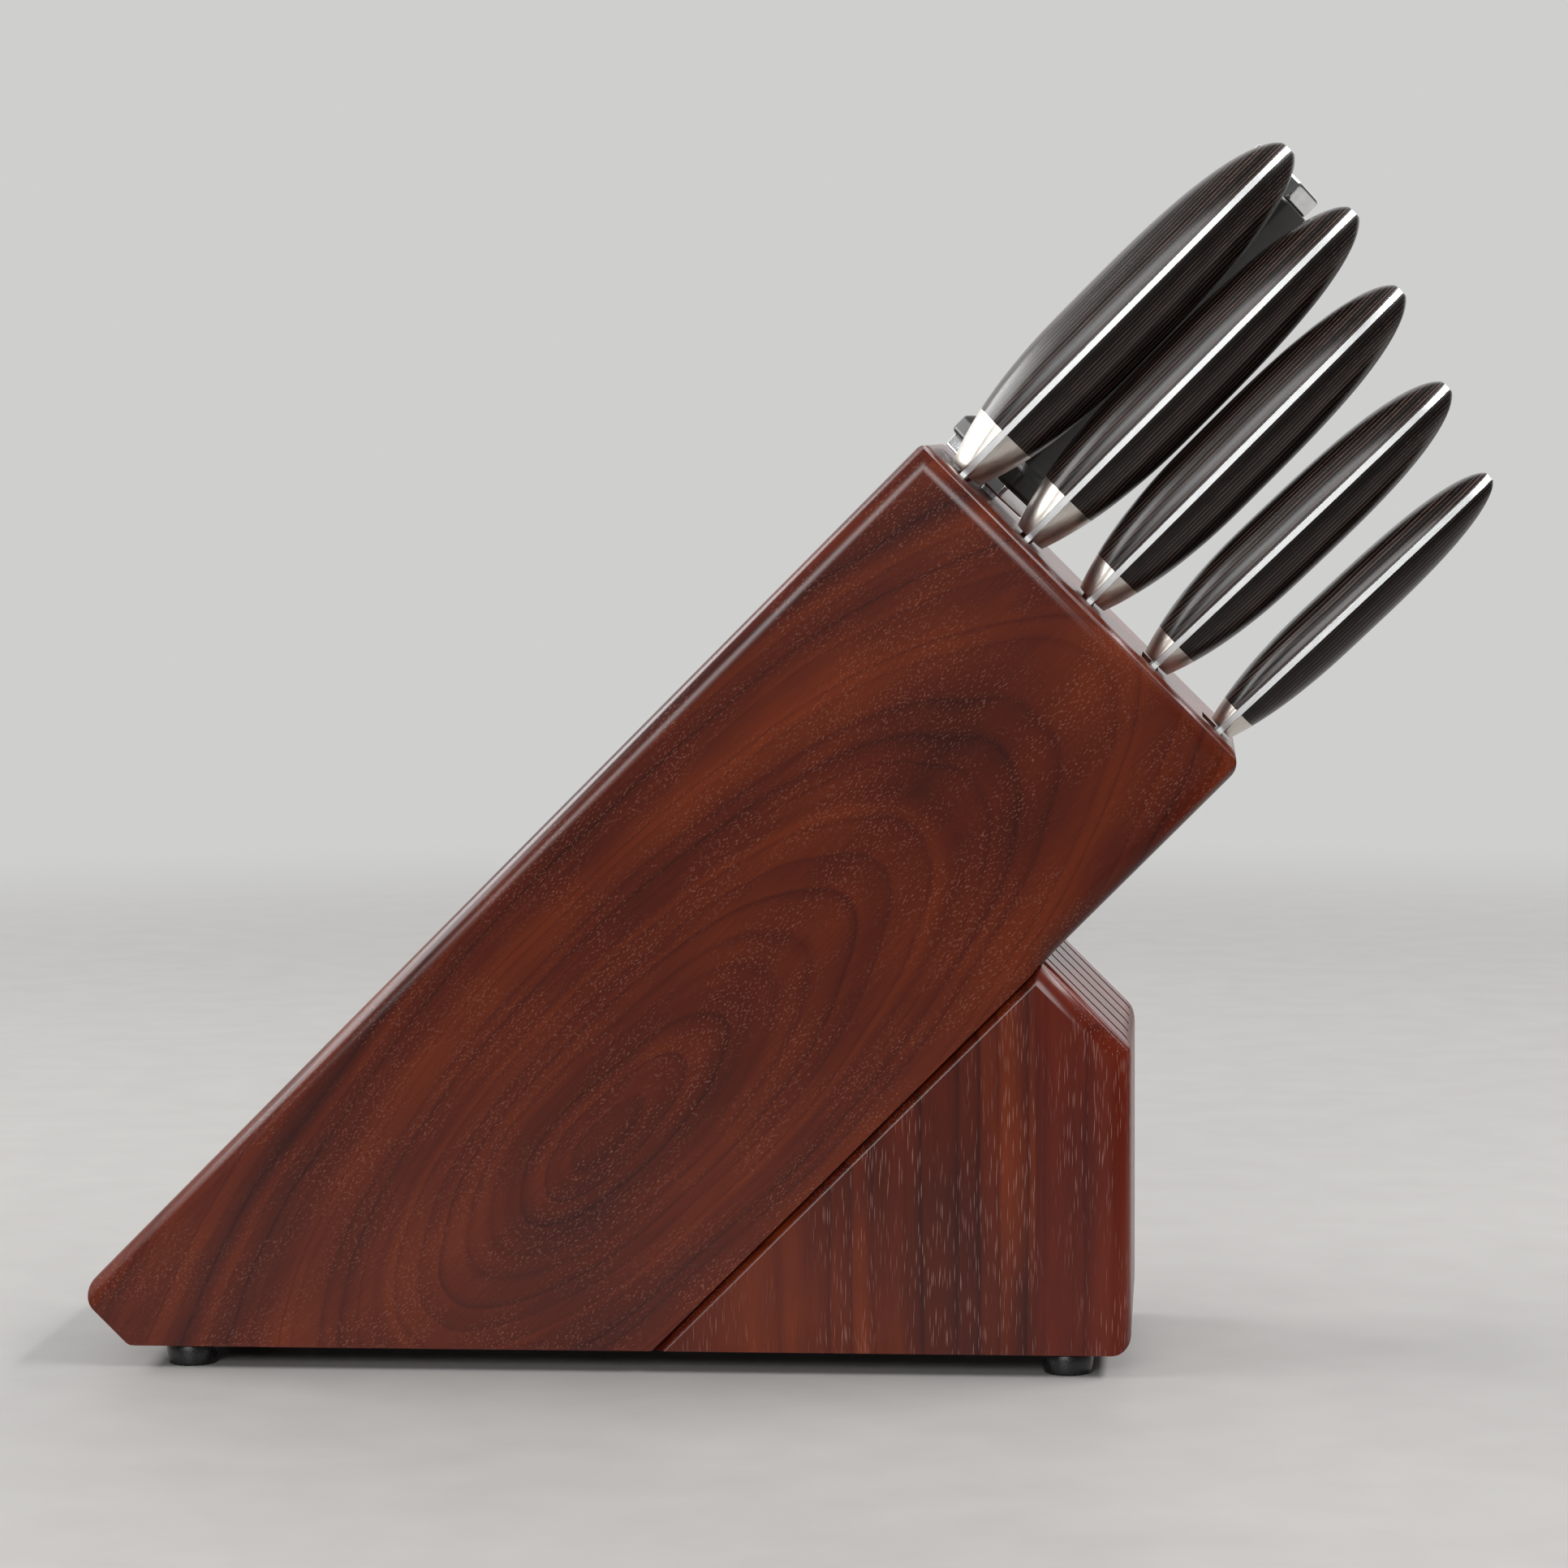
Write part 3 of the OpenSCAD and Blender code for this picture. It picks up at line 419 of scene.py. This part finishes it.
def mouldedMaterial(name, c):
    # moulded rubber or plastic: a fine even stipple from the mould
    material, tree = newMaterial(name)
    add = lambda kind, links=None, stops=None, **s: addNode(tree, kind, links, stops, **s)
    own = add("ShaderNodeAttribute", attribute_name="grain").outputs["Vector"]
    stipple = add("ShaderNodeTexNoise", {"Vector": own, "Scale": c["stipple"],
                  "Detail": 3.0}).outputs["Fac"]
    cloud = add("ShaderNodeTexNoise", {"Vector": own, "Scale": 0.12, "Detail": 2.0}).outputs["Fac"]
    colour = add("ShaderNodeValToRGB", {"Fac": cloud}, stops=[(0.3, c["dark"]),
                 (0.7, c["light"])]).outputs["Color"]
    rough = add("ShaderNodeMapRange", {"Value": stipple, "From Min": 0.3, "From Max": 0.7,
                "To Min": c["rough"][0], "To Max": c["rough"][1]}).outputs["Result"]
    bump = add("ShaderNodeBump", {"Height": stipple, "Strength": 0.35,
               "Distance": c["relief"] * mm}).outputs["Normal"]
    shader = add("ShaderNodeBsdfPrincipled", {"Base Color": colour, "Roughness": rough,
                 "IOR": c["ior"], "Normal": bump})
    closeMaterial(tree, shader)
    return material


gripMaterial = mouldedMaterial("moulded dark plastic, grip", {
    "stipple": 2.2, "dark": "#272726", "light": "#31312f", "rough": (0.3, 0.42), "relief": 0.03,
    "ior": 1.46})
rubberMaterial = mouldedMaterial("black rubber, feet", {
    "stipple": 1.6, "dark": "#0a0a0b", "light": "#121213", "rough": (0.22, 0.34), "relief": 0.03,
    "ior": 1.52})
print("metals and handle materials made")


handleShape = {"tang": 1.9, "neck": 3.8, "swell": 0.43, "neckShare": 0.72, "buttPower": 3.1, "power": 2.3,
               "end": 0.994, "flankLead": 0.045, "flankEnd": 0.25}
bladeShape = {"spine": 1.8, "edge": 0.3, "tipDrop": 0.3, "heel": 2.5, "relief": 0.18}
# handle length, thickness and height, bolster, blade length and width, lean in degrees, shift in the slot
knives = {
    "bread": {"l": 122, "t": 24.8, "h": 28, "bolster": 15.2,
              "blade": 205, "w": 28.5, "lean": 0, "shift": -0.2, "scallop": (7.0, 1.3)},
    "chef": {"l": 122.3, "t": 23, "h": 28, "bolster": 14.6,
             "blade": 200, "w": 45, "lean": 0, "shift": 0.5},
    "carving": {"l": 116.3, "t": 22.6, "h": 26, "bolster": 9.8,
                "blade": 160, "w": 30, "lean": 0, "shift": 0.5},
    "utility": {"l": 107, "t": 20.9, "h": 24, "bolster": 7.6,
                "blade": 120, "w": 25, "lean": 1.35, "shift": 1.3},
    "paring": {"l": 98, "t": 16.4, "h": 21, "bolster": 6.5,
               "blade": 90, "w": 20, "lean": 1.65, "shift": 2.3},
}
slots = {"first": 13.6, "pitch": 23.5, "near": 15, "play": 1.5, "standOff": 1}


def neckHalf(k):
    return k["h"] * handleShape["neckShare"] / 2


def pastSwell(t):
    # share of the way from the swell to the butt
    swell = handleShape["swell"]
    return np.clip((t - swell) / (1 - swell), 0, 1)


def halfThick(k, t):
    # cubic flare from the neck to the swell, then a blunt ogive
    s = handleShape
    flare = s["neck"] / 2 + (k["t"] - s["neck"]) / 2 * (1 - (1 - t / s["swell"]) ** 3)
    butt = k["t"] / 2 * np.sqrt(np.clip(1 - pastSwell(t) ** s["buttPower"], 0, 1))
    return np.where(t < s["swell"], flare, butt)


def halfHigh(k, t):
    s = handleShape
    flare = neckHalf(k) + (k["h"] / 2 - neckHalf(k)) * (1 - (1 - t / s["swell"]) ** 2)
    butt = k["h"] / 2 * np.sqrt(np.clip(1 - pastSwell(t) ** 4, 0, 1))
    return np.where(t < s["swell"], flare, butt)


def tangHalf(k, t):
    # where the section meets the face of the tang
    s = handleShape
    share = np.clip(1 - (s["tang"] / 2 / halfThick(k, t)) ** s["power"], 0, 1) ** (1 / s["power"])
    return halfHigh(k, t) * share


def halfHandle(k, t0, t1, side, rows=56, columns=40):
    # section |z / a| ^ p + |y / b| ^ p = 1 from the tang's face round to it again, carried along the handle
    s = handleShape
    t = (t0 + (t1 - t0) * (1 - (1 - np.linspace(0, 1, rows)) ** 1.6))[:, None]
    turn = np.linspace(0, math.pi, columns)[None, :]
    y = np.cos(turn) * tangHalf(k, t)
    lead = s["flankLead"] * np.sin(turn) * np.clip(1 - t / s["flankEnd"], 0, 1)
    share = np.clip(1 - (np.abs(y) / halfHigh(k, t)) ** s["power"], 0, 1) ** (1 / s["power"])
    z = np.maximum(halfThick(k, t + lead) * share, s["tang"] / 2) * side
    x = t * k["l"] + 0 * y
    return np.stack([x, y, z], -1)


def bladeAndTang(k):
    # one bar from tip to butt: a wedge section in the blade, an even one in the tang
    b, s = bladeShape, handleShape
    t = 1 - np.linspace(0, 1, 420 if "scallop" in k else 90) ** 1.5
    x = -b["heel"] - t * (k["blade"] - b["heel"])
    drop = b["tipDrop"] * t ** 4
    spine = -neckHalf(k) + k["w"] * drop
    edge = spine + k["w"] * (1 - drop) * np.clip(1 - t ** 5, 0, 1) ** 0.6
    if "scallop" in k:
        pitch, deep = k["scallop"]
        fade = np.clip((x + k["blade"]) / 12, 0, 1) * np.clip((-x - 14) / 6, 0, 1)
        edge = edge - deep * fade * np.abs(np.cos(math.pi * x / pitch))
    edge = np.maximum(edge, spine + 0.5)
    halfSpine = np.full_like(x, b["spine"] / 2)
    halfEdge = halfSpine - (b["spine"] - b["edge"]) / 2 * np.clip((edge + neckHalf(k)) / k["w"], 0, 1)
    # the neck, and then the tang between the scales
    neckX = np.array([-b["heel"] + 0.02, 0.0])
    tangT = s["end"] * (1 - (1 - np.linspace(0, 1, 70)) ** 1.6)
    neckY = np.array([neckHalf(k), neckHalf(k)])
    x = np.concatenate([x, neckX, tangT * k["l"] + 0.02])
    low = np.concatenate([spine, -neckY, -tangHalf(k, tangT)])
    high = np.concatenate([edge, neckY, tangHalf(k, tangT)])
    a = np.concatenate([halfSpine, [b["spine"] / 2, s["tang"] / 2], np.full(70, s["tang"] / 2)])
    e = np.concatenate([halfEdge, [b["spine"] / 2, s["tang"] / 2], np.full(70, s["tang"] / 2)])
    r = np.minimum(b["relief"], 0.4 * e)
    ring = [(low, -(a - r)), (low, a - r), (low + r, a), (high - r, e), (high, e - r), (high, -(e - r)),
            (high - r, -e), (low + r, -a)]
    return np.stack([np.stack([x, y, z], -1) for y, z in ring], 1)


for number, (name, k) in enumerate(knives.items()):
    body = name + "_knife"
    across = slots["near"] + slots["play"] + neckHalf(k)
    up = block["thick"] - slots["first"] - slots["pitch"] * number - k["shift"]
    place = (blockFrame @ Matrix.Translation(Vector((block["long"], across, up)) * mm)
             @ Matrix.Rotation(math.radians(k["lean"]), 4, "Y")
             @ Matrix.Translation((slots["standOff"] * mm, 0, 0)))
    joint = k["bolster"] / k["l"]
    for side, word in ((1, "upper"), (-1, "lower")):
        loft("%s_bolster_%s" % (name, word), halfHandle(k, 0, joint, side, 24), bolsterMetal, place,
             body, ["%s_bolster_halves" % name])
        loft("%s_handle_scale_%s" % (name, word), halfHandle(k, joint, handleShape["end"], side),
             scaleMaterial, place, body, ["%s_scale_%s" % (name, word)])
    loft("%s_blade" % name, bladeAndTang(k), bladeMetal, place, body,
         ["%s_blade_tang" % name])
print("knives made")


steel = {"across": 62, "shift": 3.8, "rod": 11, "long": 205, "tail": 7, "tailLong": 70,
         "ferrule": (29, 4), "gap": 1.6,
         "guard": (32, 24, 5.5, 3.5), "grip": (26, 108), "cap": (23, 6), "ridges": 40, "ridge": 0.12}


def eightSided(width, corner, points=5):
    # outline of a regular eight-sided bar across the flats, each corner an arc of the given radius
    middle = np.arange(8) * math.pi / 4 + math.pi / 8
    reach = (width / 2 - corner) / math.cos(math.pi / 8)
    swing = np.linspace(-math.pi / 8, math.pi / 8, points)
    angle = middle[:, None] + swing[None, :]
    y = (reach * np.cos(middle))[:, None] + corner * np.cos(angle)
    z = (reach * np.sin(middle))[:, None] + corner * np.sin(angle)
    return np.stack([y.ravel(), z.ravel()], -1)


def eightSidedBar(stations, corner, ease):
    # the outline carried through stations of (x, width): the width is the broken line through them
    # averaged over a short reach, which rounds its corners; both ends are eased over a quarter circle
    x, w = np.array(stations, float).T
    swing = np.linspace(0, math.pi / 2, 7)
    ahead = ease * (1 - np.cos(swing))
    middle = np.concatenate([np.linspace(p + ease, q, 15) for p, q in zip(x[:-1], x[1:])])
    middle = np.unique(middle[(middle > x[0] + ease) & (middle < x[-1] - ease)])
    at = np.concatenate([x[0] + ahead, middle, (x[-1] - ahead)[::-1]])
    inset = ease * (1 - np.sin(swing))
    cut = np.concatenate([inset, np.zeros(len(middle)), inset[::-1]])
    reach = np.linspace(-0.6, 0.6, 9)
    width = np.interp(at[:, None] + reach, x, w).mean(1) - 2 * cut
    flat = np.stack([eightSided(each, corner) for each in width])
    return np.concatenate([np.repeat(at[:, None, None], flat.shape[1], 1), flat], -1)


def ridgedRod(s):
    # radius = r * (1 - ridge * wave round the rod), a round nose at the tip and a plain tail in the grip
    angle = np.linspace(0, 2 * math.pi, s["ridges"] * 6, endpoint=False)[None, :]
    nose = np.linspace(0.12, math.pi / 2, 12)
    r = s["rod"] / 2
    x = np.concatenate([-s["long"] + r - r * np.cos(nose), np.linspace(-s["long"] + r, -0.02, 24)[1:],
                       [0.0], [s["tailLong"]]])
    radius = np.concatenate([r * np.sin(nose), np.full(23, r), [s["tail"] / 2], [s["tail"] / 2]])
    body = np.concatenate([np.sin(nose) ** 4, np.ones(23), [0], [0]])
    full = radius[:, None] - s["ridge"] * body[:, None] * (0.5 + 0.5 * np.cos(angle * s["ridges"]))
    return np.stack([x[:, None] + 0 * full, full * np.cos(angle), full * np.sin(angle)], -1)


steelUp = block["thick"] - slots["first"] - steel["shift"]
steelAt = Vector((block["long"] + steel["gap"], steel["across"], steelUp)) * mm
steelPlace = blockFrame @ Matrix.Translation(steelAt)
ferruleWide, ferruleEnd = steel["ferrule"]
gripWide, gripLong = steel["grip"]
guardWide, guardTop, guardLong, guardSlope = steel["guard"]
capWide, capLong = steel["cap"]
gripEnd = ferruleEnd + gripLong
slopeStart = ferruleEnd + guardLong
# the guard's slope is cut short where it meets the grip
slopeEnd = slopeStart + guardSlope * (guardWide - gripWide) / (guardWide - guardTop)
gripShape = [(ferruleEnd, guardWide), (slopeStart, guardWide), (slopeEnd, gripWide), (gripEnd, gripWide)]
loft("steel_grip_bar", eightSidedBar(gripShape, 3.0, 1.2), gripMaterial, steelPlace,
     "sharpening_steel", ["steel_grip"])
loft("steel_ferrule_ring", eightSidedBar([(0, ferruleWide), (ferruleEnd, ferruleWide)], 2.6, 0.5),
     polishedMetal, steelPlace, "sharpening_steel", ["steel_ferrule"])
loft("steel_end_cap", eightSidedBar([(gripEnd, capWide), (gripEnd + capLong, capWide)], 2.4, 1.0),
     polishedMetal, steelPlace, "sharpening_steel", ["steel_cap"])
loft("steel_ridged_rod", ridgedRod(steel), rodMetal, steelPlace, "sharpening_steel",
     ["steel_rod"])
print("sharpening steel made")


foot = {"top": 14.5, "floor": 13.0, "high": 6.0, "head": 7.0, "hole": 3.5, "headTop": 3.5, "ease": 0.7}


def footProfile(f):
    # outline of one half of the foot, from the screw hole down to the floor and up the tapered wall
    swing = np.linspace(0, math.pi / 2, 6)
    e = f["ease"]
    low = np.stack([f["floor"] / 2 - e + e * np.sin(swing), e - e * np.cos(swing)], -1)
    inner = np.array([[f["hole"] / 2, f["high"]], [f["hole"] / 2, f["headTop"]],
                     [f["head"] / 2, f["headTop"]], [f["head"] / 2, 0.0]])
    outer = np.array([[f["top"] / 2 - 0.2, f["high"] - 0.3], [f["top"] / 2 - 0.4, f["high"]]])
    return np.concatenate([inner, low, outer])


def turned(profile, around=72):
    # the outline turned round the foot's axis; its ring of points closes on itself
    angle = np.linspace(0, 2 * math.pi, around, endpoint=False)
    r, z = profile[:, 0][:, None], profile[:, 1][:, None]
    return np.stack([r * np.cos(angle), r * np.sin(angle), z + 0 * angle], -1)


def makeFoot(name, node):
    low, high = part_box(node)
    middle = (low + high) / 2
    rings = turned(footProfile(foot))
    count, sides = rings.shape[:2]
    i, j = np.meshgrid(np.arange(count), np.arange(sides), indexing="ij")
    a, b = i * sides + j, i * sides + (j + 1) % sides
    c, d = (i + 1) % count * sides + (j + 1) % sides, (i + 1) % count * sides + j
    own = rings.reshape(-1, 3)
    world = own * mm + np.array((middle.x, middle.y, low.z))
    obj = addMesh(name, world, np.stack([a, d, c, b], -1).reshape(-1, 4).tolist(), rubberMaterial, own, 40)
    return hold(obj, "block", [node])


for node in ("foot_toe_near", "foot_toe_far", "foot_front_near", "foot_front_far"):
    makeFoot("rubber_" + node, node)


def plainMaterial(name, c):
    # a hidden fixing's plain finish: a fine speckle in its tone, so that it doesn't look painted
    material, tree = newMaterial(name)
    add = lambda kind, links=None, stops=None, **s: addNode(tree, kind, links, stops, **s)
    spot = add("ShaderNodeTexCoord").outputs["Object"]
    speck = add("ShaderNodeTexNoise", {"Vector": spot, "Scale": c["scale"], "Detail": 3.0}).outputs["Fac"]
    colour = add("ShaderNodeValToRGB", {"Fac": speck}, stops=[(0.3, c["dark"]),
                 (0.7, c["light"])]).outputs["Color"]
    bump = add("ShaderNodeBump", {"Height": speck, "Strength": 0.2,
               "Distance": 0.02 * mm}).outputs["Normal"]
    shader = add("ShaderNodeBsdfPrincipled", {"Base Color": colour, "Metallic": c["metal"],
                 "Roughness": c["rough"], "Normal": bump})
    closeMaterial(tree, shader)
    return material


keepNode("foot_screws", plainMaterial("zinc plated steel, foot screws", {
    "scale": 900, "dark": "#a9abb0", "light": "#c5c7ca", "metal": 1.0, "rough": 0.32}))
keepNode("dowels", plainMaterial("bare beech, dowels", {
    "scale": 600, "dark": "#b98f5c", "light": "#d2ab76", "metal": 0.0, "rough": 0.7}))
print("feet made")


def makeStage():
    points = np.array([(-12, -12, 0), (12, -12, 0), (12, 12, 0), (-12, 12, 0)], float)
    material, tree = newMaterial("pale matt studio floor")
    spot = addNode(tree, "ShaderNodeTexCoord").outputs["Object"]
    speck = addNode(tree, "ShaderNodeTexNoise", {"Vector": spot, "Scale": 40.0,
                    "Detail": 3.0}).outputs["Fac"]
    colour = addNode(tree, "ShaderNodeValToRGB", {"Fac": speck},
                     stops=[(0.3, "#8b8987"), (0.7, "#8f8d8b")]).outputs["Color"]
    matt = addNode(tree, "ShaderNodeBsdfPrincipled", {"Base Color": colour, "Roughness": 0.55,
                   "Specular IOR Level": 0.2}).outputs["BSDF"]
    # the floor fades into the backdrop with distance from a point behind the object
    far = addNode(tree, "ShaderNodeVectorMath", {0: spot, 1: (0, 0.35, 0)},
                  operation="DISTANCE").outputs["Value"]
    fade = addNode(tree, "ShaderNodeMapRange", {"Value": far, "From Min": 0.62, "From Max": 1.35},
                   interpolation_type="SMOOTHSTEP").outputs["Result"]
    clear = addNode(tree, "ShaderNodeBsdfTransparent").outputs["BSDF"]
    both = addNode(tree, "ShaderNodeMixShader", {0: fade, 1: matt, 2: clear}).outputs["Shader"]
    addNode(tree, "ShaderNodeOutputMaterial", {"Surface": both})
    floor = addMesh("floor", points, [[0, 1, 2, 3]], material)


def addLight(name, place, target, size, power):
    data = bpy.data.lights.new(name, "AREA")
    data.shape, (data.size, data.size_y) = "RECTANGLE", size
    data.energy = power
    obj = bpy.data.objects.new(name, data)
    aim = Vector(target) - Vector(place)
    obj.matrix_world = Matrix.Translation(place) @ aim.to_track_quat("-Z", "Y").to_matrix().to_4x4()
    obj.visible_camera = False
    bpy.context.scene.collection.objects.link(obj)


makeStage()
addLight("left box", (-1.3, 0.05, 1.1), (0, 0, 0.15), (1.9, 0.4), 36)
addLight("right box", (1.15, 0.05, 1.3), (0, 0, 0.15), (2.0, 0.32), 44)
addLight("front box", (-0.5, -2.3, 0.95), (0, 0, 0.1), (1.4, 0.6), 37)
addLight("back panel", (0.1, 2.1, 1.15), (0, 0, 0.6), (4.2, 2.2), 24)

world = bpy.data.worlds.new("studio")
bpy.context.scene.world = world
world.use_nodes = True
air = world.node_tree
air.nodes.clear()
seen = addNode(air, "ShaderNodeLightPath").outputs["Is Camera Ray"]
pale = addNode(air, "ShaderNodeBackground", {"Color": linear("#cfcfce"), "Strength": 1.0}).outputs[0]
# a bright ceiling over dim walls
skyward = addNode(air, "ShaderNodeTexCoord").outputs["Generated"]
upward = addNode(air, "ShaderNodeSeparateXYZ", {"Vector": skyward})
rise = addNode(air, "ShaderNodeMapRange", {"Value": upward.outputs["Z"], "From Min": 0.1,
               "From Max": 0.6, "To Min": 0.12, "To Max": 0.42}).outputs["Result"]
dim = addNode(air, "ShaderNodeBackground", {"Color": linear("#f2f2f1"), "Strength": rise}).outputs[0]
mixed = addNode(air, "ShaderNodeMixShader", {0: seen, 1: dim, 2: pale}).outputs[0]
addNode(air, "ShaderNodeOutputWorld", {"Surface": mixed})
bpy.context.scene.view_settings.view_transform = "Standard"
print("stage made")
